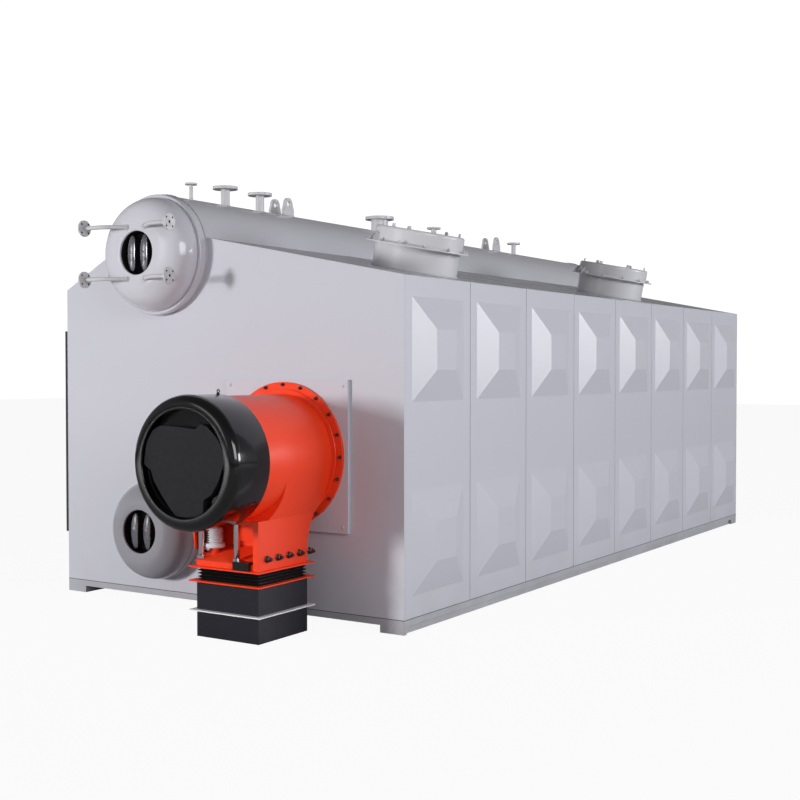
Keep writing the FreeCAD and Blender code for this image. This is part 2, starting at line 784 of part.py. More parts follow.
def build_fittings():
    save("steam_nozzle", nozzle("steam"))
    save("safety_nozzles", compound([nozzle("safety_front"), nozzle("safety_rear")]))
    save("small_nozzles", compound([nozzle("vent"), nozzle("feed"), nozzle("sampling")]))
    save("lifting_lugs", compound([plate for y in lug_positions for plate in lug_pair(y)]))
    save("gauge_pipes", compound([gauge_pipe(side, level) for side in (-1, 1) for level in gauge_levels]))
    save("explosion_door_curbs", compound([door_curb(y) for y in door_positions]))
    save("explosion_door_covers", compound([door_cover(y) for y in door_positions]))


def build_burner():
    save("burner_plate", burner_wall_plate())
    save("burner_flange", burner_flange())
    save("burner_housing", burner_housing())
    save("burner_cap", burner_cap())
    save("burner_cap_disc", cap_disc())
    save("duct_flanges", compound([duct_flange(low, red_flange_thickness) for low in red_flange_z]))
    save("duct_bellows", bellows())
    save("air_box_upper", duct_box((pale_flange_z + pale_flange_thickness, red_flange_z[1])))
    save("air_box_flange", duct_flange(pale_flange_z, pale_flange_thickness))
    save("air_box_lower", duct_box((0.0, pale_flange_z)))
    save("damper_rods", compound(damper_rods()))
    save("terminal_block", terminal_block())
    save("ribbed_hose", ribbed_hose())


os.makedirs("parts", exist_ok=True)
build_casing()
build_drums()
build_fittings()
build_burner()
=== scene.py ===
"""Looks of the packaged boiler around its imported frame.

Lengths are in metres; mm() takes the works drawing's millimetres.
"""
import bpy
import bmesh
import json
import math
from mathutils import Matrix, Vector


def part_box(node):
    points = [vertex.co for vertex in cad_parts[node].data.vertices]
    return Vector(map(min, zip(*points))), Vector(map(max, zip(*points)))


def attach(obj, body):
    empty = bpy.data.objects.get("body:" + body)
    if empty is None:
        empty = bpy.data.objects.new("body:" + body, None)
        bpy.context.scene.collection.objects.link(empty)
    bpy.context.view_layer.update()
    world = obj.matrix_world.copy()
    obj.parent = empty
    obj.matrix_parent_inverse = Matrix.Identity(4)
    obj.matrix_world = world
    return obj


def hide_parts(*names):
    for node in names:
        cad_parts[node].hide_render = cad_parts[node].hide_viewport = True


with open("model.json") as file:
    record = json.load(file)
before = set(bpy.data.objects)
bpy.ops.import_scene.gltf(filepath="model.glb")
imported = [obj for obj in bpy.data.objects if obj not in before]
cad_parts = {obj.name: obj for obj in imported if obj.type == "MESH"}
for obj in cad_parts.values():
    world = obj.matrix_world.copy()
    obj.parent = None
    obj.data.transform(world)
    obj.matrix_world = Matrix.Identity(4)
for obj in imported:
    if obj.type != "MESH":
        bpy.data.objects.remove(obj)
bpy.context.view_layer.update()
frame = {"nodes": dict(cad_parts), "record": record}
nodes = frame["nodes"]
scene = bpy.context.scene
TAU = 2 * math.pi
AX, AY, AZ = Vector((1, 0, 0)), Vector((0, 1, 0)), Vector((0, 0, 1))

# ------------------------------------------------------------------ places read from the frame
WALL_LO, WALL_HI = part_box("front_wall")
BACK_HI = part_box("back_wall")[1]


def mm(x, y, z):
    """Point from the front wall's lower left corner, y towards the rear, z from the ground."""
    return Vector((WALL_LO.x + x / 1000, WALL_LO.y + y / 1000, z / 1000))


def centre_of(node):
    lo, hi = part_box(node)
    return (lo + hi) / 2


def half_width(node):
    lo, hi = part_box(node)
    return (hi.x - lo.x) / 2


# ------------------------------------------------------------------ materials
def linear(srgb):
    """Scene colour of an 8-bit display colour."""
    return tuple(c / 255 / 12.92 if c <= 10.31 else ((c / 255 + 0.055) / 1.055) ** 2.4
                 for c in srgb) + (1.0,)


class Shader:
    """Small helper around one node tree."""

    def __init__(self, name):
        self.material = bpy.data.materials.new(name)
        self.material.use_nodes = True
        self.tree = self.material.node_tree
        self.tree.nodes.clear()
        self.out = self.node("ShaderNodeOutputMaterial")
        self.bsdf = self.node("ShaderNodeBsdfPrincipled")
        self.link(self.bsdf.outputs[0], self.out.inputs["Surface"])
        self.coord = self.node("ShaderNodeTexCoord").outputs["Object"]

    def node(self, kind, **settings):
        made = self.tree.nodes.new(kind)
        for key, value in settings.items():
            setattr(made, key, value)
        return made

    def link(self, a, b):
        self.tree.links.new(a, b)

    def noise(self, scale, detail, roughness):
        tex = self.node("ShaderNodeTexNoise")
        tex.inputs["Scale"].default_value = scale
        tex.inputs["Detail"].default_value = detail
        tex.inputs["Roughness"].default_value = roughness
        self.link(self.coord, tex.inputs["Vector"])
        return tex.outputs["Fac"]

    def remap(self, value, low, high, to_low, to_high):
        mapper = self.node("ShaderNodeMapRange")
        mapper.inputs["From Min"].default_value = low
        mapper.inputs["From Max"].default_value = high
        mapper.inputs["To Min"].default_value = to_low
        mapper.inputs["To Max"].default_value = to_high
        self.link(value, mapper.inputs["Value"])
        return mapper.outputs[0]

    def mix(self, factor, a, b):
        mixer = self.node("ShaderNodeMix", data_type="RGBA")
        self.link(factor, mixer.inputs[0])
        for socket, value in ((mixer.inputs[6], a), (mixer.inputs[7], b)):
            if isinstance(value, tuple):
                socket.default_value = value
            else:
                self.link(value, socket)
        return mixer.outputs[2]

    def bump(self, height, strength, distance, normal=None):
        node = self.node("ShaderNodeBump")
        node.inputs["Strength"].default_value = strength
        node.inputs["Distance"].default_value = distance
        self.link(height, node.inputs["Height"])
        if normal is not None:
            self.link(normal, node.inputs["Normal"])
        return node.outputs[0]

    def soft_edges(self, radius):
        node = self.node("ShaderNodeBevel", samples=4)
        node.inputs["Radius"].default_value = radius
        return node.outputs[0]

    def set(self, **sockets):
        for key, value in sockets.items():
            socket = self.bsdf.inputs[key.replace("_", " ")]
            if isinstance(value, bpy.types.NodeSocket):
                self.link(value, socket)
            else:
                socket.default_value = value


def scaled(colour, factor):
    return tuple(min(1.0, c * factor) for c in colour[:3]) + (1.0,)


def mottled(s, value, base, spread):
    """Colour that drifts by spread to both sides of base as value goes from 0.3 to 0.7."""
    return s.mix(s.remap(value, 0.3, 0.7, 0.0, 1.0), scaled(base, 1 - spread), scaled(base, 1 + spread))


DUST = (126, 122, 116)
DUST_HEIGHT = 0.45
ORANGE_PEEL = 0.02


def enamel(name, srgb, rough=0.4, spread=0.05, wave=0.03, coat=0.0, edge=0.003, dust=0.0):
    """Sprayed enamel: soft waviness, orange peel, slight mottling and a little settled dust."""
    s = Shader(name)
    base = linear(srgb)
    colour = mottled(s, s.noise(0.55, 4.0, 0.55), base, spread)
    fine = s.remap(s.noise(60.0, 5.0, 0.6), 0.35, 0.65, 0.0, 1.0)
    colour = s.mix(s.remap(fine, 0.0, 1.0, 0.0, 0.35), colour, scaled(base, 1 - spread * 0.6))
    if dust:
        split = s.node("ShaderNodeSeparateXYZ")
        s.link(s.coord, split.inputs[0])
        low = s.remap(split.outputs["Z"], 0.0, DUST_HEIGHT, 1.0, 0.0)
        patchy = s.node("ShaderNodeMath", operation="MULTIPLY")
        s.link(low, patchy.inputs[0])
        s.link(s.remap(s.noise(3.0, 6.0, 0.6), 0.3, 0.7, 0.0, dust), patchy.inputs[1])
        colour = s.mix(patchy.outputs[0], colour, linear(DUST))
    gloss = s.remap(s.noise(9.0, 5.0, 0.6), 0.3, 0.7, rough - 0.012, rough + 0.015)
    normal = s.soft_edges(edge) if edge else None
    if wave:
        normal = s.bump(s.noise(1.6, 2.0, 0.4), wave, 0.05, normal)
    normal = s.bump(s.noise(260.0, 2.0, 0.5), ORANGE_PEEL, 0.0015, normal)
    s.set(Base_Color=colour, Roughness=gloss, Normal=normal, Coat_Weight=coat, Coat_Roughness=0.12)
    return s.material


def metal(name, srgb, rough, spread=0.06, edge=0.0015):
    """Machined or plated metal with faint grain and smudges."""
    s = Shader(name)
    base = linear(srgb)
    grain = s.noise(70.0, 4.0, 0.6)
    colour = mottled(s, grain, base, spread)
    gloss = s.remap(s.noise(14.0, 4.0, 0.6), 0.3, 0.7, rough * 0.75, rough * 1.3)
    normal = s.bump(grain, 0.04, 0.001, s.soft_edges(edge))
    s.set(Base_Color=colour, Metallic=1.0, Roughness=gloss, Normal=normal)
    return s.material


def plastic(name, srgb, rough, coat=0.0, grain_strength=0.05, spread=0.15, edge=0.002):
    """Moulded or lacquered dark parts."""
    s = Shader(name)
    base = linear(srgb)
    colour = mottled(s, s.noise(4.0, 5.0, 0.6), base, spread)
    gloss = s.remap(s.noise(22.0, 5.0, 0.6), 0.3, 0.7, rough * 0.85, rough * 1.2)
    normal = s.bump(s.noise(140.0, 3.0, 0.5), grain_strength, 0.001, s.soft_edges(edge))
    s.set(Base_Color=colour, Roughness=gloss, Normal=normal, Coat_Weight=coat, Coat_Roughness=0.06)
    return s.material


MAT = {
    "casing": enamel("casing_enamel", (195, 195, 203), rough=0.34, spread=0.008, wave=0.0, dust=0.2),
    "roof": enamel("roof_enamel", (168, 168, 175), rough=0.25, spread=0.02, wave=0.0),
    "base": enamel("base_enamel", (176, 176, 183), rough=0.5, spread=0.03, dust=0.4),
    "drum": enamel("drum_enamel", (198, 197, 204), rough=0.17, spread=0.01, wave=0.0, coat=0.4),
    "cover": metal("manhole_steel", (178, 178, 184), rough=0.24),
    "fitting": enamel("fitting_enamel", (196, 196, 198), rough=0.3, spread=0.02, wave=0.0, edge=0.0015),
    "door": enamel("door_enamel", (204, 204, 207), rough=0.2, spread=0.01, wave=0.0, coat=0.25),
    "burner_red": enamel("burner_red_enamel", (244, 66, 29), rough=0.34, spread=0.02, wave=0.01),
    "cap": plastic("cap_gloss_black", (5, 5, 6), 0.12, coat=0.3, grain_strength=0.0, spread=0.05),
    "cap_disc": plastic("cap_disc_charcoal", (25, 25, 28), 0.5, grain_strength=0.03, spread=0.04),
    "bellows": plastic("bellows_rubber", (14, 14, 15), 0.5, grain_strength=0.12),
    "air_box": plastic("air_box_enamel", (31, 30, 38), 0.42, grain_strength=0.03, spread=0.05),
    "trim": enamel("trim_enamel", (234, 234, 236), rough=0.35, spread=0.01, wave=0.0, edge=0.001),
    "bright": metal("bright_plating", (226, 226, 230), rough=0.1),
    "block": plastic("block_black", (14, 14, 16), 0.3),
    "flue": enamel("flue_enamel", (58, 58, 62), rough=0.5),
}
STEEL = metal("dark_bolt_steel", (92, 90, 92), rough=0.34)
# near-black painted shadow inside manhole recesses, gauge bolt holes and the niche hole
PAINTED_SHADOW_BLACK = plastic("hole_painted_shadow_black", (7, 7, 8), 0.8)
# dark grey strip: painted shadow of the gap where the casing meets the base frame
PAINTED_SHADOW_GAP = plastic("shadow_gap_grey", (96, 96, 102), 0.7)
# lower heads: the drum enamel darkened to paint the shade that falls on them
PAINTED_SHADE_ENAMEL = enamel("lower_head_painted_shade_enamel", (146, 146, 152), rough=0.2, spread=0.01, wave=0.0, coat=0.4)
HOSE = enamel("hose_galvanised", (214, 214, 217), rough=0.3, spread=0.03, wave=0.0, edge=0)
BEAD = enamel("weld_bead_enamel", (184, 184, 190), rough=0.34, wave=0.0, edge=0)

# every CAD node takes the enamel or metal of its slot in the record
SLOT_OF = {row["node"]: row["material_slot"] for row in frame["record"]["subparts"]}
for name, obj in nodes.items():
    obj.data.materials.clear()
    obj.data.materials.append(MAT[SLOT_OF[name]])


# ------------------------------------------------------------------ mesh helpers
def side_vectors(axis):
    axis = axis.normalized()
    first = axis.cross(AZ if abs(axis.z) < 0.9 else AX).normalized()
    return axis, first, axis.cross(first)


def around(u, v, i, count):
    """Unit vector at step i of count in the plane of u and v."""
    angle = TAU * i / count
    return u * math.cos(angle) + v * math.sin(angle)


def bridge(bm, a, b):
    """Faces between two rings with the same number of vertices."""
    for k in range(len(a)):
        j = (k + 1) % len(a)
        bm.faces.new([a[k], a[j], b[j], b[k]])


def lathe(bm, profile, origin, axis, segments=64, loop=False):
    """Revolve (radius, distance along the axis) pairs. loop joins the last pair to the first."""
    axis, u, v = side_vectors(axis)
    rings = []
    for radius, along in profile:
        centre = origin + axis * along
        if radius < 1e-7:
            rings.append([bm.verts.new(centre)])
            continue
        rings.append([bm.verts.new(centre + around(u, v, i, segments) * radius)
                      for i in range(segments)])
    pairs = list(zip(rings, rings[1:]))
    if loop:
        pairs.append((rings[-1], rings[0]))
    for a, b in pairs:
        for i in range(segments):
            j = (i + 1) % segments
            quad = [a[i % len(a)], a[j % len(a)], b[j % len(b)], b[i % len(b)]]
            corners = []
            for vert in quad:
                if vert not in corners:
                    corners.append(vert)
            if len(corners) > 2:
                bm.faces.new(corners)


def arc(cx, cy, radius, start, end, steps):
    """Points of a flat arc from start to end degrees."""
    angles = [math.radians(start + (end - start) * i / steps) for i in range(steps + 1)]
    return [(cx + radius * math.cos(angle), cy + radius * math.sin(angle)) for angle in angles]


def disc(radius, height):
    """Lathe profile of a plain disc."""
    return [(0, 0), (radius, 0), (radius, height), (0, height)]


def box_mesh(bm, lo, hi, bevel=0.0):
    verts = [bm.verts.new((x, y, z))
             for x in (lo[0], hi[0]) for y in (lo[1], hi[1]) for z in (lo[2], hi[2])]
    faces = [bm.faces.new([verts[i] for i in quad]) for quad in
             ((0, 1, 3, 2), (4, 6, 7, 5), (0, 4, 5, 1), (2, 3, 7, 6), (0, 2, 6, 4), (1, 5, 7, 3))]
    if bevel:
        edges = list({edge for face in faces for edge in face.edges})
        bmesh.ops.bevel(bm, geom=edges, offset=bevel, segments=2, profile=0.6, affect="EDGES")


def prism(bm, corners, along):
    """Extrude a flat outline by a vector."""
    low = [bm.verts.new(c) for c in corners]
    high = [bm.verts.new(Vector(c) + along) for c in corners]
    bm.faces.new(low)
    bm.faces.new(high[::-1])
    for i in range(len(low)):
        j = (i + 1) % len(low)
        bm.faces.new([low[j], low[i], high[i], high[j]])


def hexagon(bm, origin, axis, across, height):
    """Hexagonal bolt head or nut with a chamfered top."""
    axis, u, v = side_vectors(axis)
    radius = across / 2 / math.cos(math.pi / 6)
    rings = []
    for r, h in ((radius, 0.0), (radius, height * 0.88), (radius * 0.86, height)):
        rings.append([bm.verts.new(origin + axis * h + around(u, v, i, 6) * r) for i in range(6)])
    for a, b in zip(rings, rings[1:]):
        bridge(bm, a, b)
    bm.faces.new(rings[0][::-1])
    bm.faces.new(rings[-1])


def bolt(bm, origin, axis, across, stud):
    """Washer, hexagon head and the rounded end of the thread; stud is its length in half widths."""
    axis = axis.normalized()
    r = across / 2
    washer = [(0, 0), (r * 1.3, 0), (r * 1.3, r * 0.18), (r * 1.2, r * 0.24), (0, r * 0.24)]
    lathe(bm, washer, origin, axis, 20)
    hexagon(bm, origin + axis * r * 0.24, axis, across, r * 1.2)
    if stud:
        top = r * 1.44
        end = top + r * stud
        thread = [(r * 0.5, top), (r * 0.5, top + r * stud * 0.7), (r * 0.4, end), (0, end)]
        lathe(bm, thread, origin, axis, 14)


def bend(a, corner, b, steps):
    """Points of a curve from a to b that is drawn towards a corner."""
    made = []
    for i in range(steps + 1):
        t = i / steps
        made.append(a * (1 - t) ** 2 + corner * 2 * t * (1 - t) + b * t * t)
    return made


def smooth_path(points, steps):
    """Catmull-Rom line through points."""
    ends = [points[0] * 2 - points[1]] + list(points) + [points[-1] * 2 - points[-2]]
    line = []
    for i in range(1, len(ends) - 2):
        p0, p1, p2, p3 = ends[i - 1:i + 3]
        for k in range(steps):
            t = k / steps
            line.append(0.5 * ((2 * p1) + (p2 - p0) * t + (2 * p0 - 5 * p1 + 4 * p2 - p3) * t * t
                               + (3 * p1 - p0 - 3 * p2 + p3) * t ** 3))
    return line + [Vector(points[-1])]


def tube(bm, path, radius, segments=20, closed=False, wobble=None):
    """Sweep a circle along a path; wobble(i) scales the radius, as on a weld bead."""
    count = len(path)
    rings, normal = [], None
    for i, point in enumerate(path):
        before = path[(i - 1) % count] if closed or i else point
        after = path[(i + 1) % count] if closed or i < count - 1 else point
        tangent = (after - before).normalized()
        if normal is None:
            normal = side_vectors(tangent)[1]
        normal = (normal - tangent * normal.dot(tangent)).normalized()
        other = tangent.cross(normal)
        r = radius * (wobble(i) if wobble else 1.0)
        rings.append([bm.verts.new(point + around(normal, other, k, segments) * r)
                      for k in range(segments)])
    pairs = list(zip(rings, rings[1:]))
    if closed:
        pairs.append((rings[-1], rings[0]))
    for a, b in pairs:
        bridge(bm, a, b)
    if not closed:
        bm.faces.new(rings[0][::-1])
        bm.faces.new(rings[-1])


def ripple(i):
    """Uneven thickness of a hand-laid weld bead."""
    return 1.0 + 0.16 * math.sin(i * 1.9) + 0.06 * math.sin(i * 0.37)


def bead_ring(bm, origin, axis, radius, bead, steps=220):
    axis, u, v = side_vectors(axis)
    path = [origin + around(u, v, i, steps) * radius for i in range(steps)]
    tube(bm, path, bead, 8, closed=True, wobble=ripple)


def bead_line(bm, start, end, bead):
    steps = max(4, int((end - start).length / 0.012))
    tube(bm, [start.lerp(end, i / steps) for i in range(steps + 1)], bead, 8, wobble=ripple)


def saddle_bead(bm, centre, pipe_radius, drum_axis, drum_radius, bead, steps=72):
    """Weld where an upright pipe meets a drum that lies along Y."""
    path = []
    for i in range(steps):
        x = pipe_radius * math.cos(TAU * i / steps)
        y = pipe_radius * math.sin(TAU * i / steps)
        dx = centre.x + x - drum_axis.x
        height = drum_axis.z + math.sqrt(drum_radius ** 2 - dx ** 2)
        path.append(Vector((centre.x + x, centre.y + y, height)))
    tube(bm, path, bead, 8, closed=True, wobble=ripple)


def piece(name, bm, material, angle=35, bevel=0.0, replaces=()):
    """Turn a bmesh into a finished, riding piece."""
    bmesh.ops.remove_doubles(bm, verts=bm.verts, dist=1e-6)
    bmesh.ops.recalc_face_normals(bm, faces=bm.faces)
    mesh = bpy.data.meshes.new(name)
    bm.to_mesh(mesh)
    bm.free()
    mesh.materials.append(material)
    mesh.polygons.foreach_set("use_smooth", [True] * len(mesh.polygons))
    mesh.set_sharp_from_angle(angle=math.radians(angle))
    obj = bpy.data.objects.new(name, mesh)
    scene.collection.objects.link(obj)
    if bevel:
        mod = obj.modifiers.new("edge", "BEVEL")
        mod.width = bevel
        mod.segments = 2
        mod.limit_method = "ANGLE"
        mod.angle_limit = math.radians(50)
        mod.harden_normals = True
    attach(obj, "root")
    if replaces:
        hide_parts(*replaces)
    return obj


# ------------------------------------------------------------------ drums
UPPER = centre_of("upper_drum_front_head")
UPPER_R = half_width("upper_drum_front_head")
LOWER_R = half_width("lower_drum_front_head")
MANHOLE_R, MANHOLE_DEPTH, MANHOLE_LIP = 0.190, 0.100, 0.016
HEAD_FLAT = 0.268
SHELL_RIM = {"upper": 0.028, "lower": 0.003}
# wall face and outward direction at each end
END_LINES = {"front": (WALL_LO.y, -1), "rear": (BACK_HI.y, 1)}


def cubic(a, b, c, d, t):
    return a * (1 - t) ** 3 + b * 3 * t * (1 - t) ** 2 + c * 3 * t * t * (1 - t) + d * t ** 3


def head(which, end, radius, knuckle, depth, crown):
    """Dished head: a flat middle round the manhole, a gently sloping crown and a rounded knuckle."""
    node = "%s_drum_%s_head" % (which, end)
    lo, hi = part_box(node)
    out = END_LINES[end][1]
    face_y = lo.y if out < 0 else hi.y
    reach = depth + crown
    centre = Vector(((lo.x + hi.x) / 2, face_y - out * reach, (lo.z + hi.z) / 2))
    skin, shoulder, flat = radius - SHELL_RIM[which], radius - knuckle - 0.004, HEAD_FLAT
    profile = [(MANHOLE_R, reach - MANHOLE_LIP), (MANHOLE_R, reach - 0.008),
               (MANHOLE_R + 0.0023, reach - 0.0023), (MANHOLE_R + 0.008, reach),
               (flat * 0.9, reach), (flat, reach)]
    steps, power = 12, 1.6
    for i in range(1, steps + 1):
        profile.append((flat + (shoulder - flat) * i / steps, reach - crown * (i / steps) ** power))
    slope = power * crown / (shoulder - flat)
    a, d = Vector((shoulder, depth)), Vector((skin, 0.0))
    b = a + Vector((1.0, -slope)) * (skin - shoulder) * 0.5
    c = d + Vector((0.0, 1.0)) * depth * 0.55
    steps = 24
    for i in range(1, steps + 1):
        profile.append(tuple(cubic(a, b, c, d, i / steps)))
    bm = bmesh.new()
    lathe(bm, profile + [(skin, -0.02)], centre, AY * out, 128)
    # upper heads take the drum enamel; lower heads take the darker copy, painted shade
    head_enamel_or_painted_shade = MAT["drum"] if which == "upper" else PAINTED_SHADE_ENAMEL
    piece("%s_%s_head_skin" % (which, end), bm, head_enamel_or_painted_shade, 50, replaces=[node])
    bm = bmesh.new()
    if which == "upper":
        rim = [(skin - 0.004, -0.01), (skin - 0.002, 0.006), (skin + 0.005, 0.011),
               (radius - 0.008, 0.009), (radius - 0.001, 0.003), (radius - 0.0005, -0.001)]
        lathe(bm, rim, centre, AY * out, 128)
        piece("upper_%s_head_rim" % end, bm, head_enamel_or_painted_shade, 60)
        bm = bmesh.new()
    bead_ring(bm, Vector((centre.x, END_LINES[end][0], centre.z)), AY, radius + 0.002, 0.008)
    piece("%s_%s_girth_weld" % (which, end), bm, BEAD)
    return centre, reach


def yoke(bm, x, z, y, out):
    """Leaf-shaped arched bar seen inside the manhole."""
    rows, cols = 28, 16
    length, width, rise = 0.336, 0.082, 0.046
    grid = []
    for i in range(rows + 1):
        s = -1 + 2 * i / rows
        envelope = max(0.0, 1 - abs(s) ** 2.6) ** 0.5
        row = []
        for k in range(cols):
            swell = rise * 0.4 * (1 - s * s) + math.sin(TAU * k / cols) * rise * 0.4 * envelope
            row.append(bm.verts.new((x + math.cos(TAU * k / cols) * width / 2 * envelope,
                                     y + out * swell, z + s * length / 2)))
        grid.append(row)
    for a, b in zip(grid, grid[1:]):
        bridge(bm, a, b)


def manhole(which, end, centre, reach):
    """Recessed manhole plate painted near-black as the shadow in the recess, with two yokes, their nuts
    and their studs.
    """
    out = END_LINES[end][1]
    seat_y = centre.y + out * (reach - MANHOLE_DEPTH)
    bm = bmesh.new()
    top = MANHOLE_DEPTH - MANHOLE_LIP
    cup = [(0, -0.02), (MANHOLE_R + 0.024, -0.02), (MANHOLE_R + 0.024, 0.0), (MANHOLE_R, 0.0),
           (MANHOLE_R, top), (MANHOLE_R - 0.001, top), (MANHOLE_R - 0.004, 0.004),
           (MANHOLE_R - 0.02, 0.016), (0, 0.02)]
    lathe(bm, cup, Vector((centre.x, seat_y, centre.z)), AY * out, 96)
    piece("%s_%s_manhole_shadow_plate" % (which, end), bm, PAINTED_SHADOW_BLACK)
    bm = bmesh.new()
    for side in (-1, 1):
        x = centre.x + side * 0.073
        yoke(bm, x, centre.z, seat_y + out * 0.060, out)
        tip = Vector((x, seat_y + out * 0.086, centre.z))
        hexagon(bm, tip, AY * out, 0.032, 0.013)
        lathe(bm, [(0.0095, 0), (0.0095, 0.015), (0.0075, 0.018), (0, 0.018)], tip, AY * out, 16)
        lathe(bm, [(0.024, -0.02), (0.024, -0.002), (0.02, 0.002), (0, 0.002)], tip, AY * out, 24)
        for end_z in (-1, 1):
            lathe(bm, [(0.011, 0), (0.011, 0.048), (0.008, 0.050), (0, 0.050)],
                  Vector((x, seat_y + out * 0.016, centre.z + end_z * 0.135)), AY * out, 16)
    bars = piece("%s_%s_manhole_yokes" % (which, end), bm, MAT["cover"], 40)
    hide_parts("front_manhole_covers" if end == "front" else "rear_manhole_covers")


for which, radius, knuckle, depth, crown in (("upper", UPPER_R, 0.147, 0.216, 0.028),
                                             ("lower", LOWER_R, 0.075, 0.175, 0.049)):
    for end in ("front", "rear"):
        manhole(which, end, *head(which, end, radius, knuckle, depth, crown))

# ------------------------------------------------------------------ gauge connections on the upper head
bm = bmesh.new()
bolts = bmesh.new()
face_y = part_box("upper_drum_front_head")[0].y
GAUGE_REACH, GAUGE_BEND = 0.121, 0.055
pipe_y = face_y - GAUGE_REACH
for side in (-1, 1):
    for level in (0.225, -0.225):
        z = UPPER.z + level
        start = Vector((UPPER.x + side * 0.105, face_y + 0.006, z))
        elbow = Vector((UPPER.x + side * 0.280, pipe_y, z))
        end = Vector((UPPER.x + side * 0.490, pipe_y, z))
        into, out_dir = (elbow - start).normalized(), Vector((side, 0, 0))
        curve = bend(elbow - into * GAUGE_BEND, elbow, elbow + out_dir * GAUGE_BEND, 12)
        tube(bm, [start] + curve + [end], 0.018, 20)
        bead_ring(bm, start + AY * -0.008, AY, 0.021, 0.005, 40)
        flange = [(0.012, 0.018), (0.012, -0.01), (0.024, -0.01), (0.03, 0.0), (0.069, 0.0),
                  (0.072, 0.003), (0.072, 0.015), (0.069, 0.018), (0.044, 0.018), (0.042, 0.021),
                  (0.022, 0.021), (0.012, 0.018)]
        lathe(bm, flange, end, out_dir, 40)
        for k in range(4):
            a = TAU * (k + 0.5) / 4
            spot = end + AY * math.cos(a) * 0.053 + AZ * math.sin(a) * 0.053
            for near, far in ((0.0183, 0.0188), (-0.0003, -0.0008)):
                lathe(bolts, [(0, near), (0.0085, near), (0.0085, far), (0, far)], spot, out_dir, 16)
        lathe(bolts, [(0, 0.0155), (0.0118, 0.0155), (0.0118, 0.016), (0, 0.016)], end, out_dir, 20)
piece("gauge_connections", bm, MAT["fitting"], 35, replaces=["gauge_pipes"])
# black discs at the bolt holes and bore: painted shadow of the holes
piece("gauge_bolt_hole_shadows", bolts, PAINTED_SHADOW_BLACK)

# ------------------------------------------------------------------ welds under nozzles and lugs
bm = bmesh.new()
drum_axis = Vector((UPPER.x, 0, UPPER.z))
DRUM_LINE = 1200
# (distance from the front wall in millimetres, pipe radius)
NOZZLES = ((392, 0.018), (869, 0.042), (1387, 0.042), (3521, 0.095), (4709, 0.031), (6808, 0.030))
for y, r in NOZZLES:
    saddle_bead(bm, mm(DRUM_LINE, y, 0), r + 0.003, drum_axis, UPPER_R, 0.007)
for y in (1728, 6160):
    for side in (-1, 1):
        x = UPPER.x + side * 0.082
        for off in (-0.015, 0.015):
            z = UPPER.z + math.sqrt(UPPER_R ** 2 - (x + off - UPPER.x) ** 2)
            centre = mm(DRUM_LINE, y, 0)
            ends = [Vector((x + off, centre.y + along, z)) for along in (-0.085, 0.085)]
            bead_line(bm, *ends, 0.006)
piece("nozzle_welds", bm, BEAD)

# ------------------------------------------------------------------ explosion doors
COVER_LO, COVER_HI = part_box("explosion_door_covers")
COVER_R, CURB_R, COVER_HEIGHT = 0.396, 0.381, 0.136
EAVES, ROOF_FALL = 2.830, 0.197
DOOR_INSET, CURB_HEIGHT = 0.640, 0.2218


def roof_z(x):
    """Height of the right roof slope."""
    return EAVES + ROOF_FALL * (WALL_HI.x - x)


LEAN = math.atan(ROOF_FALL)
UP = Vector((math.sin(LEAN), 0, math.cos(LEAN)))
DOWNHILL = Vector((math.cos(LEAN), 0, -math.sin(LEAN)))


def door_directions(degrees):
    """Outward and sideways directions at an angle round a door, square to the roof."""
    a = math.radians(degrees)
    return DOWNHILL * math.cos(a) + AY * math.sin(a), AY * math.cos(a) - DOWNHILL * math.sin(a)


door_x = WALL_HI.x - DOOR_INSET
DOORS = (COVER_LO.y + COVER_R, COVER_HI.y - COVER_R)
for number, y in enumerate(DOORS, 1):
    foot = Vector((door_x, y, roof_z(door_x)))
    base = foot + UP * CURB_HEIGHT
    bm = bmesh.new()
    profile = [(COVER_R + 0.006, 0.0), (COVER_R + 0.006, 0.012), (COVER_R, 0.016),
               (COVER_R, COVER_HEIGHT - 0.03)]
    profile += arc(COVER_R - 0.024, COVER_HEIGHT - 0.024, 0.024, 0, 90, 8)
    profile += [(COVER_R * 0.8, COVER_HEIGHT), (COVER_R * 0.5, COVER_HEIGHT), (0, COVER_HEIGHT)]
    lathe(bm, profile, base, UP, 128)
    piece("door_cover_%d" % number, bm, MAT["door"], 40, replaces=["explosion_door_covers"])
    bm = bmesh.new()
    for k in range(6):
        spoke, across = door_directions(20 + 60 * k)
        heel = base + spoke * (COVER_R - 0.052) + UP * (COVER_HEIGHT - 0.002)
        prism(bm, [heel - across * 0.02, heel + across * 0.02, heel + across * 0.014 + UP * 0.034,
                   heel - across * 0.014 + UP * 0.034], spoke * 0.014)
    for k in range(12):
        spoke = door_directions(10 + 30 * k)[0]
        bolt(bm, base + spoke * (COVER_R + 0.036), UP, 0.026, 0.9)
    for k in range(2):
        spoke, across = door_directions(195 + 40 * k)
        for off in (-0.03, 0.03):
            heel = base + spoke * (COVER_R - 0.002) + across * off
            toe = heel + spoke * 0.055
            prism(bm, [heel, toe, toe + UP * 0.03, heel + UP * 0.085], across * 0.008)
    piece("door_fittings_%d" % number, bm, MAT["fitting"], 30)
    bm = bmesh.new()
    bead_ring(bm, foot + UP * 0.002, UP, CURB_R, 0.009)
    piece("door_curb_weld_%d" % number, bm, BEAD)

# ------------------------------------------------------------------ burner
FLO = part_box("burner_flange")[0]
BC = centre_of("burner_flange")
FLANGE_R = half_width("burner_flange")
PLO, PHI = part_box("burner_plate")
CLO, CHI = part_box("burner_cap")

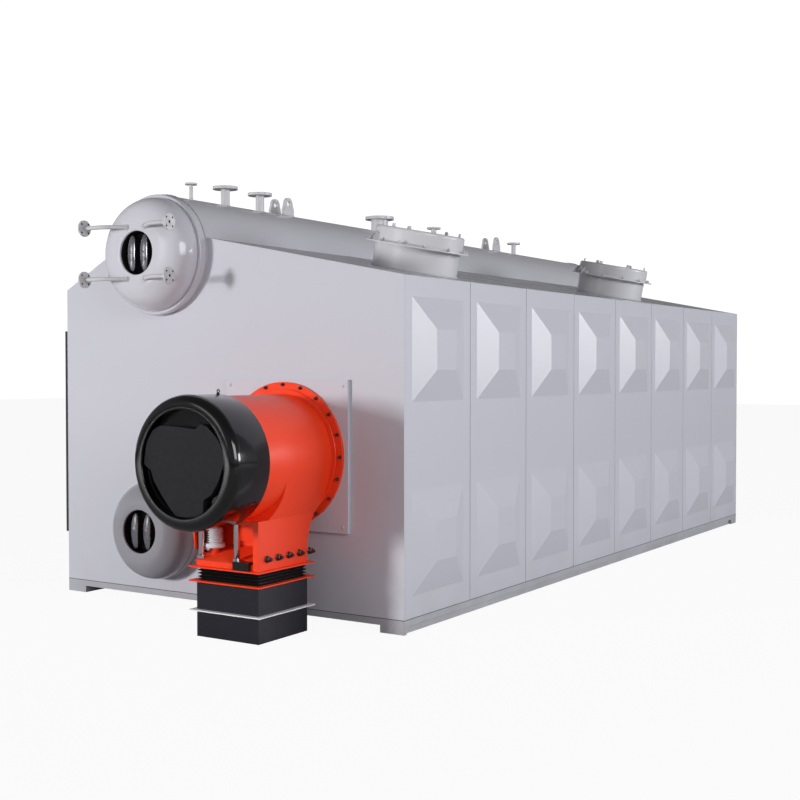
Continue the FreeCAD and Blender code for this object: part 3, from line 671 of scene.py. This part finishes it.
bm = bmesh.new()
for k in range(20):
    spot = Vector((BC.x, FLO.y, BC.z)) + around(AX, AZ, k, 20) * (FLANGE_R - 0.021)
    bolt(bm, spot, -AY, 0.024, 0.5)
piece("burner_flange_bolts", bm, STEEL)
bm = bmesh.new()
bead_ring(bm, Vector((BC.x, FLO.y, BC.z)), AY, 0.503, 0.008)
hub = [(0.5, -0.002), (0.54, -0.002), (0.543, -0.006), (0.543, -0.012), (0.54, -0.015), (0.5, -0.015)]
lathe(bm, hub, Vector((BC.x, FLO.y, BC.z)), AY, 128, loop=True)
piece("burner_hub_ring", bm, MAT["burner_red"])
bm = bmesh.new()
for x in (PLO.x + 0.05, PHI.x - 0.05):
    for z in (PLO.z + 0.05, PHI.z - 0.05):
        rivet = [(0, 0), (0.014, 0), (0.014, 0.003), (0.011, 0.007), (0, 0.009)]
        lathe(bm, rivet, Vector((x, PLO.y, z)), -AY, 20)
piece("burner_plate_rivets", bm, MAT["casing"])

# black intake silencer
front = CLO.y
back = CHI.y
depth = back - front
bm = bmesh.new()
R = half_width("burner_cap")
rim, recess, knuckle = 0.106, 0.070, 0.065
origin = Vector((BC.x, back, BC.z))
profile = [(0, 0.0), (R - 0.012, 0.0)] + arc(R - 0.008, 0.008, 0.008, -90, 0, 3)[1:]
profile += arc(R - knuckle, depth - knuckle, knuckle, 0, 86, 14)
profile += [(R - 0.063, depth), (R - rim + 0.010, depth)]
profile += arc(R - rim + 0.008, depth - 0.008, 0.008, 90, 180, 5)[1:]
profile += [(R - rim, depth - recess + 0.004), (R - rim - 0.004, depth - recess), (0, depth - recess)]
lathe(bm, profile, origin, -AY, 160)
piece("intake_silencer_shell", bm, MAT["cap"], 40, replaces=["burner_cap"])
bm = bmesh.new()
for radius, along, bead in ((R - 0.0005, depth - 0.072, 0.0030),
                            (R - rim + 0.006, depth - 0.003, 0.005)):
    lathe(bm, arc(radius, along, bead, 0, 360, 10)[:-1], origin, -AY, 160, loop=True)
piece("intake_silencer_beads", bm, MAT["cap"])

disc_r = R - rim
# edge of the front plate, as parts of its opening's radius
outline = [(-0.985, -0.04), (-0.90, -0.10), (-0.81, -0.15), (-0.74, -0.34), (-0.56, -0.58),
           (-0.37, -0.80), (-0.20, -0.965), (0.06, -0.985), (0.31, -0.945), (0.47, -0.87),
           (0.475, -0.64), (0.66, -0.54), (0.83, -0.30), (0.90, -0.12), (0.985, 0.08),
           (0.93, 0.31), (0.80, 0.50), (0.58, 0.69), (0.40, 0.74), (0.30, 0.635),
           (-0.13, 0.68), (-0.57, 0.69), (-0.76, 0.60), (-0.92, 0.36)]


def rounded(points, share=0.22, steps=4):
    """Round every corner of a closed outline."""
    made = []
    count = len(points)
    for i, point in enumerate(points):
        p, q, r = Vector(points[i - 1]), Vector(point), Vector(points[(i + 1) % count])
        a, b = q.lerp(p, share), q.lerp(r, share)
        for k in range(steps + 1):
            t = k / steps
            made.append(a * (1 - t) ** 2 + q * 2 * t * (1 - t) + b * t * t)
    return made


bm = bmesh.new()
shape = [Vector((BC.x + p.x * disc_r, front + recess, BC.z + p.y * disc_r)) for p in rounded(outline)]
PLATE_SETBACK = 0.018
prism(bm, shape, -AY * (recess - PLATE_SETBACK))
piece("silencer_front_plate", bm, MAT["cap_disc"], 40, bevel=0.004,
      replaces=["burner_cap_disc"])
bm = bmesh.new()
EYE_BOLT_ANGLE = math.radians(88)
spoke = Vector((math.cos(EYE_BOLT_ANGLE), 0, math.sin(EYE_BOLT_ANGLE)))
top = Vector((BC.x, back - 0.016, BC.z)) + spoke * (R - 0.002)
lathe(bm, [(0.014, 0), (0.014, 0.008), (0.008, 0.011), (0.008, 0.016)], top, spoke, 20)
path = [top + spoke * 0.024 + around(AY, AZ, i, 28) * 0.013 for i in range(28)]
tube(bm, path, 0.0045, 10, closed=True)
piece("silencer_eye_bolt", bm, MAT["cap"])

# duct bolts on both flanks
bm = bmesh.new()
ALO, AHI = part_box("air_box_upper")
DUCT_BOLT_Z = 0.640
for i in range(5):
    y = mm(0, -768 + 135 * i, 0).y
    for x, direction in ((AHI.x, AX), (ALO.x, -AX)):
        spot = Vector((x, y, DUCT_BOLT_Z))
        lathe(bm, [(0, 0), (0.028, 0), (0.028, 0.006), (0.025, 0.009), (0, 0.009)], spot, direction, 28)
        hexagon(bm, spot + direction * 0.009, direction, 0.043, 0.024)
        lathe(bm, [(0.0135, 0.035), (0.0135, 0.050), (0.011, 0.055), (0, 0.055)], spot, direction, 18)
piece("duct_bolts", bm, STEEL, 30)

# niche contents: panel, bracket, elbow
NY = mm(0, -605, 0).y
bm = bmesh.new()
box_mesh(bm, (mm(2560, 0, 0).x, NY - 0.020, 0.735), (mm(2905, 0, 0).x, NY + 0.004, 0.890), 0.004)
box_mesh(bm, (mm(2795, 0, 0).x, NY - 0.030, 0.770), (mm(2880, 0, 0).x, NY - 0.018, 0.885), 0.004)
piece("niche_panel", bm, MAT["burner_red"])
bm = bmesh.new()
# black disc on the bracket: painted shadow of its hole
lathe(bm, disc(0.016, 0.002), Vector((mm(2838, 0, 0).x, NY - 0.0302, 0.845)), -AY, 24)
piece("niche_hole_shadow", bm, PAINTED_SHADOW_BLACK)
bm = bmesh.new()
hose_c = centre_of("ribbed_hose")
down = [Vector((hose_c.x - left, hose_c.y - ahead, z)) for left, ahead, z in
        ((0, 0, 0.700), (0, 0, 0.665), (0.010, 0.012, 0.638), (0.035, 0.03, 0.622),
         (0.068, 0.04, 0.614))]
tube(bm, smooth_path(down, 8), 0.034, 24)
piece("niche_elbow", bm, MAT["burner_red"])

# corrugated hose
KLO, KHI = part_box("ribbed_hose")
height = KHI.z - KLO.z
bm = bmesh.new()
profile = [(0, 0), (0.078, 0), (0.082, 0.004), (0.082, 0.030), (0.078, 0.034), (0.062, 0.034)]
ribs, start, stop = 7, 0.038, height - 0.038
steps = ribs * 10
for i in range(steps + 1):
    t = i / steps
    profile.append((0.0625 + 0.0065 * math.cos(TAU * (t * ribs - 0.5)), start + (stop - start) * t))
profile += [(0.062, height - 0.034), (0.078, height - 0.034), (0.082, height - 0.030),
            (0.082, height - 0.004), (0.078, height), (0, height)]
lathe(bm, profile, Vector((hose_c.x, hose_c.y, KLO.z)), AZ, 64)
piece("corrugated_hose", bm, HOSE, 60, replaces=["ribbed_hose"])

# damper rods
RLO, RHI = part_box("damper_rods")
bm = bmesh.new()
low = 0.6
rod = [(0, RHI.z), (0.025, RHI.z), (0.025, low + 0.03), (0.022, low + 0.026),
       (0.022, low - 0.03), (0, low - 0.03)]
collar = [(0.025, low + 0.012), (0.034, low + 0.012), (0.034, low + 0.034),
          (0.031, low + 0.037), (0.025, low + 0.037)]
for x in (RLO.x + 0.025, RHI.x - 0.025):
    axis_foot = Vector((x, (RLO.y + RHI.y) / 2, 0))
    lathe(bm, rod, axis_foot, AZ, 48)
    lathe(bm, collar, axis_foot, AZ, 40)
piece("polished_rods", bm, MAT["bright"], 40, replaces=["damper_rods"])

# ------------------------------------------------------------------ bellows
DLO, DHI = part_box("duct_bellows")
bm = bmesh.new()
folds = 4
rows = folds * 10


def rounded_square(lo, hi, inset, radius):
    """Corner points of a rounded square inside two corners of a box."""
    pts = []
    x0, x1, y0, y1 = lo.x + inset, hi.x - inset, lo.y + inset, hi.y - inset
    for cx, cy, start in ((x1 - radius, y1 - radius, 0), (x0 + radius, y1 - radius, 90),
                          (x0 + radius, y0 + radius, 180), (x1 - radius, y0 + radius, 270)):
        for k in range(7):
            a = math.radians(start + 90 * k / 6)
            pts.append((cx + radius * math.cos(a), cy + radius * math.sin(a)))
    return pts


rings = []
for i in range(rows + 1):
    t = i / rows
    inset = 0.022 * (0.5 - 0.5 * math.cos(TAU * t * folds)) ** 0.8
    z = DLO.z + (DHI.z - DLO.z) * t
    rings.append([bm.verts.new((x, y, z)) for x, y in rounded_square(DLO, DHI, inset, 0.012)])
for a, b in zip(rings, rings[1:]):
    bridge(bm, a, b)
bm.faces.new(rings[0][::-1])
bm.faces.new(rings[-1])
piece("bellows_folds", bm, MAT["bellows"], 70, replaces=["duct_bellows"])

# ------------------------------------------------------------------ casing details
# thin dark strip round the base: painted shadow of the seam between casing and base frame
bm = bmesh.new()
z0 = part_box("base_plate")[1].z
strip, proud = 0.006, 0.0012
left, right = WALL_LO.x - proud, WALL_HI.x + proud
near, far = WALL_LO.y - proud, BACK_HI.y + proud
for x0, y0, x1, y1 in ((left, near, right, WALL_LO.y + 0.002), (left, BACK_HI.y - 0.002, right, far),
                       (WALL_HI.x - 0.002, near, right, far), (left, near, WALL_LO.x + 0.002, far)):
    box_mesh(bm, (x0, y0, z0 - strip / 2), (x1, y1, z0 + strip / 2))
piece("base_shadow_gap_strip", bm, PAINTED_SHADOW_GAP)

FLUE_LO, FLUE_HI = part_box("flue_cover")
margin = 0.03
y0, y1 = FLUE_LO.y + margin, FLUE_HI.y - margin
z0, z1 = FLUE_LO.z + margin, FLUE_HI.z - margin
bm = bmesh.new()
for i in range(12):
    for y in (y0, y1):
        bolt(bm, Vector((FLUE_LO.x, y, z0 + (z1 - z0) * i / 11)), -AX, 0.026, 0.0)
for i in range(1, 6):
    for z in (z0, z1):
        bolt(bm, Vector((FLUE_LO.x, y0 + (y1 - y0) * i / 6, z)), -AX, 0.026, 0.0)
piece("flue_cover_bolts", bm, STEEL)

bm = bmesh.new()
for k in range(1, 8):
    y = WALL_LO.y + (BACK_HI.y - WALL_LO.y) * k / 8
    x0, x1 = UPPER.x + UPPER_R + 0.01, WALL_HI.x - 0.02
    if min(abs(y - place) for place in DOORS) < 0.50:
        continue
    section = ((x0, -0.001), (x1, -0.001), (x1, 0.004), (x0, 0.004))
    prism(bm, [Vector((x, y - 0.03, roof_z(x) + rise)) for x, rise in section], AY * 0.06)
piece("roof_lap_strips", bm, MAT["roof"])

# ------------------------------------------------------------------ floor, light and camera
FLOOR = 60.0
FLOOR_GREY = (0.5, 0.5, 0.51, 1)
# the camera sees mostly white glow on the floor, and the rest of it is lit
FLOOR_GLOW, GLOW_SHARE = 1.02, 0.92
mesh = bpy.data.meshes.new("studio_floor")
corners = [(-FLOOR, -FLOOR, 0), (FLOOR, -FLOOR, 0), (FLOOR, FLOOR, 0), (-FLOOR, FLOOR, 0)]
mesh.from_pydata(corners, [], [(0, 1, 2, 3)])
floor = bpy.data.objects.new("studio_floor", mesh)
scene.collection.objects.link(floor)
s = Shader("floor_white")
s.tree.nodes.remove(s.bsdf)
diffuse = s.node("ShaderNodeBsdfDiffuse")
diffuse.inputs["Color"].default_value = FLOOR_GREY
glow = s.node("ShaderNodeEmission")
glow.inputs["Color"].default_value = (1, 1, 1, 1)
glow.inputs["Strength"].default_value = FLOOR_GLOW
path_node = s.node("ShaderNodeLightPath")
part = s.node("ShaderNodeMath", operation="MULTIPLY")
s.link(path_node.outputs["Is Camera Ray"], part.inputs[0])
part.inputs[1].default_value = GLOW_SHARE
mix = s.node("ShaderNodeMixShader")
s.link(part.outputs[0], mix.inputs[0])
s.link(diffuse.outputs[0], mix.inputs[1])
s.link(glow.outputs[0], mix.inputs[2])
s.link(mix.outputs[0], s.out.inputs["Surface"])
mesh.materials.append(s.material)

BACKGROUND = 1.05
world = bpy.data.worlds.new("studio")
scene.world = world
world.use_nodes = True
tree = world.node_tree
tree.nodes.clear()
out = tree.nodes.new("ShaderNodeOutputWorld")
camera_bg = tree.nodes.new("ShaderNodeBackground")
camera_bg.inputs["Color"].default_value = (1, 1, 1, 1)
camera_bg.inputs["Strength"].default_value = BACKGROUND
light_bg = tree.nodes.new("ShaderNodeBackground")
coord = tree.nodes.new("ShaderNodeTexCoord")
split = tree.nodes.new("ShaderNodeSeparateXYZ")
tree.links.new(coord.outputs["Generated"], split.inputs[0])
ramp = tree.nodes.new("ShaderNodeValToRGB")
tree.links.new(split.outputs["Z"], ramp.inputs[0])
ramp.color_ramp.elements[0].position = 0.0
ramp.color_ramp.elements[0].color = (0.34, 0.34, 0.355, 1)
ramp.color_ramp.elements[1].position = 0.75
ramp.color_ramp.elements[1].color = (0.12, 0.12, 0.125, 1)
tree.links.new(ramp.outputs[0], light_bg.inputs["Color"])
light_bg.inputs["Strength"].default_value = 1.0
rays = tree.nodes.new("ShaderNodeLightPath")
mixer = tree.nodes.new("ShaderNodeMixShader")
tree.links.new(rays.outputs["Is Camera Ray"], mixer.inputs[0])
tree.links.new(light_bg.outputs[0], mixer.inputs[1])
tree.links.new(camera_bg.outputs[0], mixer.inputs[2])
tree.links.new(mixer.outputs[0], out.inputs[0])


def softbox(name, azimuth, elevation, distance, size, power, target, colour=(1, 1, 1)):
    """Area light seen from target at an elevation and an azimuth: 0 in front, positive to the right."""
    data = bpy.data.lights.new(name, "AREA")
    data.shape = "RECTANGLE"
    data.size, data.size_y = size
    data.energy = power
    data.color = colour
    light = bpy.data.objects.new(name, data)
    a, e = math.radians(azimuth), math.radians(elevation)
    direction = Vector((math.sin(a) * math.cos(e), -math.cos(a) * math.cos(e), math.sin(e)))
    light.location = target + direction * distance
    light.rotation_mode = "QUATERNION"
    light.rotation_quaternion = direction.to_track_quat("Z", "Y")
    scene.collection.objects.link(light)
    return light


focus = mm(2000, 1500, 1500)
softbox("key_front_left", -31, 4.6, 22, (2.0, 2.6), 3150, focus).visible_glossy = False
softbox("card_front_left", -20, 11, 18, (7.0, 5.0), 150, focus)
softbox("fill_right", 62, 15, 17, (8.0, 6.0), 900, focus, (0.98, 0.98, 1.0))
softbox("fill_far_right", 104, 8, 22, (14.0, 4.0), 2500, mm(3000, 7000, 1500), (0.97, 0.98, 1.0))

LENS_MM = 55.7
CAMERA_YAW, CAMERA_PITCH = 32.46, 1.48
cam_data = bpy.data.cameras.new("camera")
cam_data.lens = LENS_MM
cam_data.sensor_width = 36
cam_data.clip_end = 300
cam = bpy.data.objects.new("camera", cam_data)
scene.collection.objects.link(cam)
cam.location = mm(8907, -8167, 2100)
yaw, pitch = math.radians(CAMERA_YAW), math.radians(CAMERA_PITCH)
forward = Vector((-math.sin(yaw) * math.cos(pitch), math.cos(yaw) * math.cos(pitch), -math.sin(pitch)))
cam.rotation_mode = "QUATERNION"
cam.rotation_quaternion = forward.to_track_quat("-Z", "Y")
scene.camera = cam
scene.view_settings.view_transform = "Standard"
